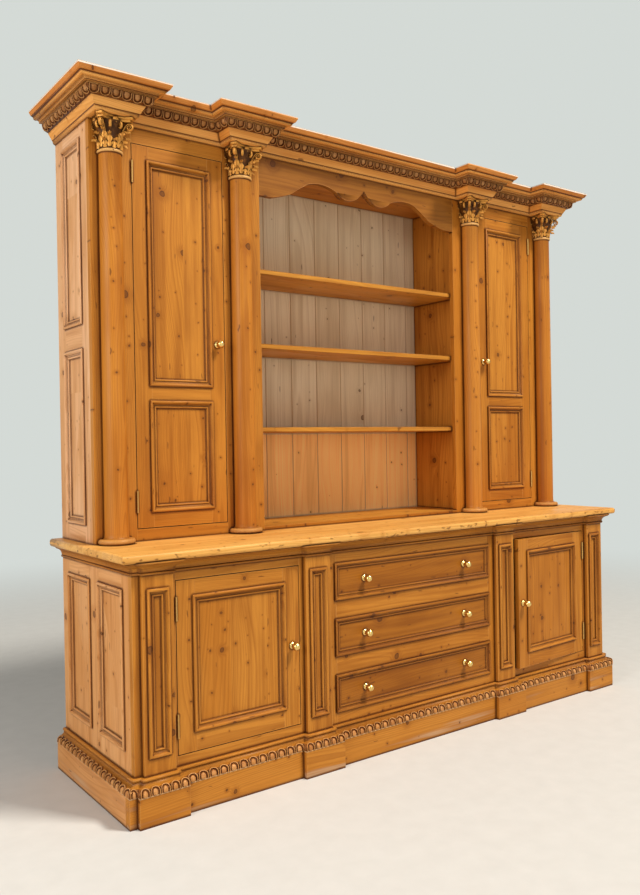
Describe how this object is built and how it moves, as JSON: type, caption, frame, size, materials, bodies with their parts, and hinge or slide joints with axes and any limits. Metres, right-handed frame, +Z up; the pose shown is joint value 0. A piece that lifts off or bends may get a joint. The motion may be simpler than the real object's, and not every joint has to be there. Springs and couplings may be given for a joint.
{
  "type": "hutch",
  "caption": "Breakfront pine hutch: base with drawers and panelled cupboards, and open shelves between column-flanked cupboards under a carved cornice.",
  "frame": {"origin": "on the floor under the middle of the carcass, at its centre bearer", "axes": "+Z up, +X to the right of someone facing the doors, front towards -Y"},
  "size_m": [2.682, 0.6981, 2.474],
  "materials": {
    "waxed_pine": "waxed",
    "worktop_pine": "waxed",
    "carved_pine": "waxed",
    "back_board_pine": "dry",
    "inside_pine": "dry",
    "brass": "polished",
    "hinge_brass": "aged"
  },
  "bodies": {
    "carcass": {"base_back": "back_board_pine", "base_bottom": "waxed_pine", "base_face_frame": "waxed_pine", "base_partitions": "waxed_pine", "base_shelves": "inside_pine", "base_side_panels": "waxed_pine", "base_sides": "waxed_pine", "capitals": "carved_pine", "catch_blocks": "inside_pine", "columns": "waxed_pine", "cornice": "waxed_pine", "cornice_blocks": "waxed_pine", "cupboard_shelves": "inside_pine", "drawer_runners": "inside_pine", "hinge_frame_leaves": "hinge_brass", "open_shelves": "waxed_pine", "pilasters": "waxed_pine", "plinth_blocks": "waxed_pine", "plinth_cap": "waxed_pine", "plinth_ends": "waxed_pine", "plinth_front": "waxed_pine", "plinth_rails": "inside_pine", "upper_back": "back_board_pine", "upper_ceiling": "waxed_pine", "upper_face_frame": "waxed_pine", "upper_floor": "waxed_pine", "upper_partitions": "waxed_pine", "upper_side_panels": "waxed_pine", "upper_sides": "waxed_pine", "valance": "waxed_pine", "worktop": "worktop_pine", "worktop_moulding": "waxed_pine"},
    "lower_left_door": {"lower_left_door_frame": "waxed_pine", "lower_left_door_panel": "waxed_pine", "lower_left_door_knob": "brass", "lower_left_door_hinge_leaves": "hinge_brass"},
    "lower_right_door": {"lower_right_door_frame": "waxed_pine", "lower_right_door_panel": "waxed_pine", "lower_right_door_knob": "brass", "lower_right_door_hinge_leaves": "hinge_brass"},
    "upper_left_door": {"upper_left_door_frame": "waxed_pine", "upper_left_door_panel": "waxed_pine", "upper_left_door_knob": "brass", "upper_left_door_hinge_leaves": "hinge_brass"},
    "upper_right_door": {"upper_right_door_frame": "waxed_pine", "upper_right_door_panel": "waxed_pine", "upper_right_door_knob": "brass", "upper_right_door_hinge_leaves": "hinge_brass"},
    "drawer_1": {"drawer_1_front": "waxed_pine", "drawer_1_box": "inside_pine", "drawer_1_knobs": "brass"},
    "drawer_2": {"drawer_2_front": "waxed_pine", "drawer_2_box": "inside_pine", "drawer_2_knobs": "brass"},
    "drawer_3": {"drawer_3_front": "waxed_pine", "drawer_3_box": "inside_pine", "drawer_3_knobs": "brass"}
  },
  "joints": [
    {"name": "lower_left_door_hinge", "type": "hinge", "parent": "carcass", "child": "lower_left_door", "pos_m": [-1.0875, -0.294, 0.4775], "axis": [0, 0, -1], "range_deg": [0, 100]},
    {"name": "lower_right_door_hinge", "type": "hinge", "parent": "carcass", "child": "lower_right_door", "pos_m": [1.0875, -0.294, 0.4775], "axis": [0, 0, 1], "range_deg": [-3.2, 96.8]},
    {"name": "upper_left_door_hinge", "type": "hinge", "parent": "carcass", "child": "upper_left_door", "pos_m": [-1.0835, 0.005, 1.6125], "axis": [0, 0, -1], "range_deg": [0, 100]},
    {"name": "upper_right_door_hinge", "type": "hinge", "parent": "carcass", "child": "upper_right_door", "pos_m": [1.0835, 0.005, 1.6125], "axis": [0, 0, 1], "range_deg": [0, 100]},
    {"name": "drawer_1_slide", "type": "slide", "parent": "carcass", "child": "drawer_1", "axis": [0, -1, 0], "range_m": [0, 0.38]},
    {"name": "drawer_2_slide", "type": "slide", "parent": "carcass", "child": "drawer_2", "axis": [0, -1, 0], "range_m": [0, 0.38]},
    {"name": "drawer_3_slide", "type": "slide", "parent": "carcass", "child": "drawer_3", "axis": [0, -1, 0], "range_m": [0, 0.38]}
  ]
}
